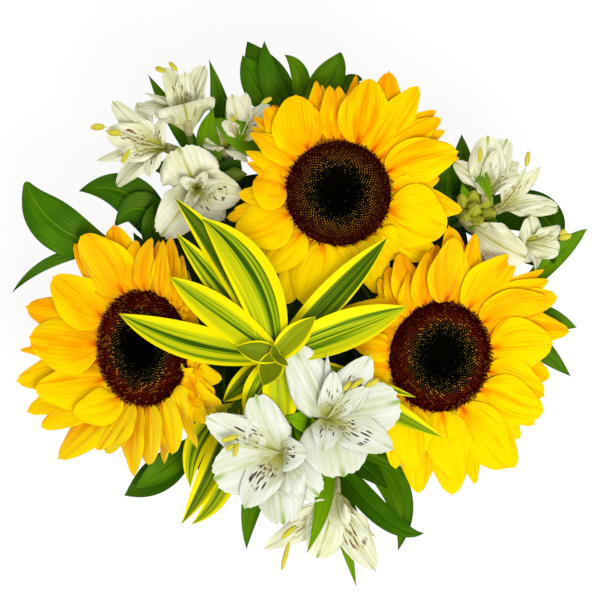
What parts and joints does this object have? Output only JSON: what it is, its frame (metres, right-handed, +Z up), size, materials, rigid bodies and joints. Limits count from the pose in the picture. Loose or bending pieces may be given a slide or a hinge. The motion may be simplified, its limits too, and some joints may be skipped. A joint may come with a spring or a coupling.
{
  "type": "cut flower bunch",
  "caption": "Cut, tied bunch of flowers, face up on its stem ends: dark-eyed yellow blooms round a rosette of striped leaves, with white flowers and green leaves.",
  "frame": {"origin": "middle of the bunch's outline seen from above, on the ground under its level-cut stem ends", "axes": "+X towards the right of the picture, +Y towards its top, +Z up, the way the flowers face"},
  "size_m": [0.348, 0.328, 0.19],
  "materials": {
    "petal": "soft glossy yellow petals, orange towards the disc",
    "disc": "matt near-black and dark red-brown florets",
    "tepal": "satin cream white with dark red streaks",
    "striped": "smooth leaf, green stripes with bright yellow margins",
    "leaf": "glossy mid-green leaf",
    "stem": "matt green stem",
    "tie": "plain natural binding"
  },
  "bodies": {
    "root": {"sunflower_top_disc": "disc", "sunflower_top_petals": "petal", "sunflower_top_calyx": "leaf", "sunflower_top_stem": "stem", "sunflower_left_disc": "disc", "sunflower_left_petals": "petal", "sunflower_left_calyx": "leaf", "sunflower_left_stem": "stem", "sunflower_right_disc": "disc", "sunflower_right_petals": "petal", "sunflower_right_calyx": "leaf", "sunflower_right_stem": "stem", "white_flower_stem_centre": "stem", "white_flower_centre_lower": "tepal", "white_flower_centre_upper": "tepal", "white_flower_centre_low": "tepal", "white_flower_stem_left": "stem", "white_flower_left_outer": "tepal", "white_flower_left_top": "tepal", "white_flower_left_inner": "tepal", "white_flower_left_far": "tepal", "white_flower_left_back": "tepal", "white_flower_stem_right": "stem", "white_flower_right_top": "tepal", "white_flower_right_outer": "tepal", "white_flower_right_low": "tepal", "white_flower_right_side": "tepal", "striped_rosette_stem": "striped", "striped_leaf_west": "striped", "striped_leaf_north_west": "striped", "striped_leaf_far_west": "striped", "striped_leaf_far_north": "striped", "striped_leaf_north": "striped", "striped_leaf_north_east": "striped", "striped_leaf_east": "striped", "striped_leaf_south": "striped", "striped_leaf_south_west": "striped", "striped_leaf_low_south_west": "striped", "striped_leaf_south_east": "striped", "striped_leaf_low_east": "striped", "striped_shoot": "striped", "leaf_spray_left": "leaf", "leaf_spray_top": "leaf", "leaf_spray_right": "leaf", "leaf_spray_low": "leaf", "tie": "tie"}
  },
  "joints": []
}
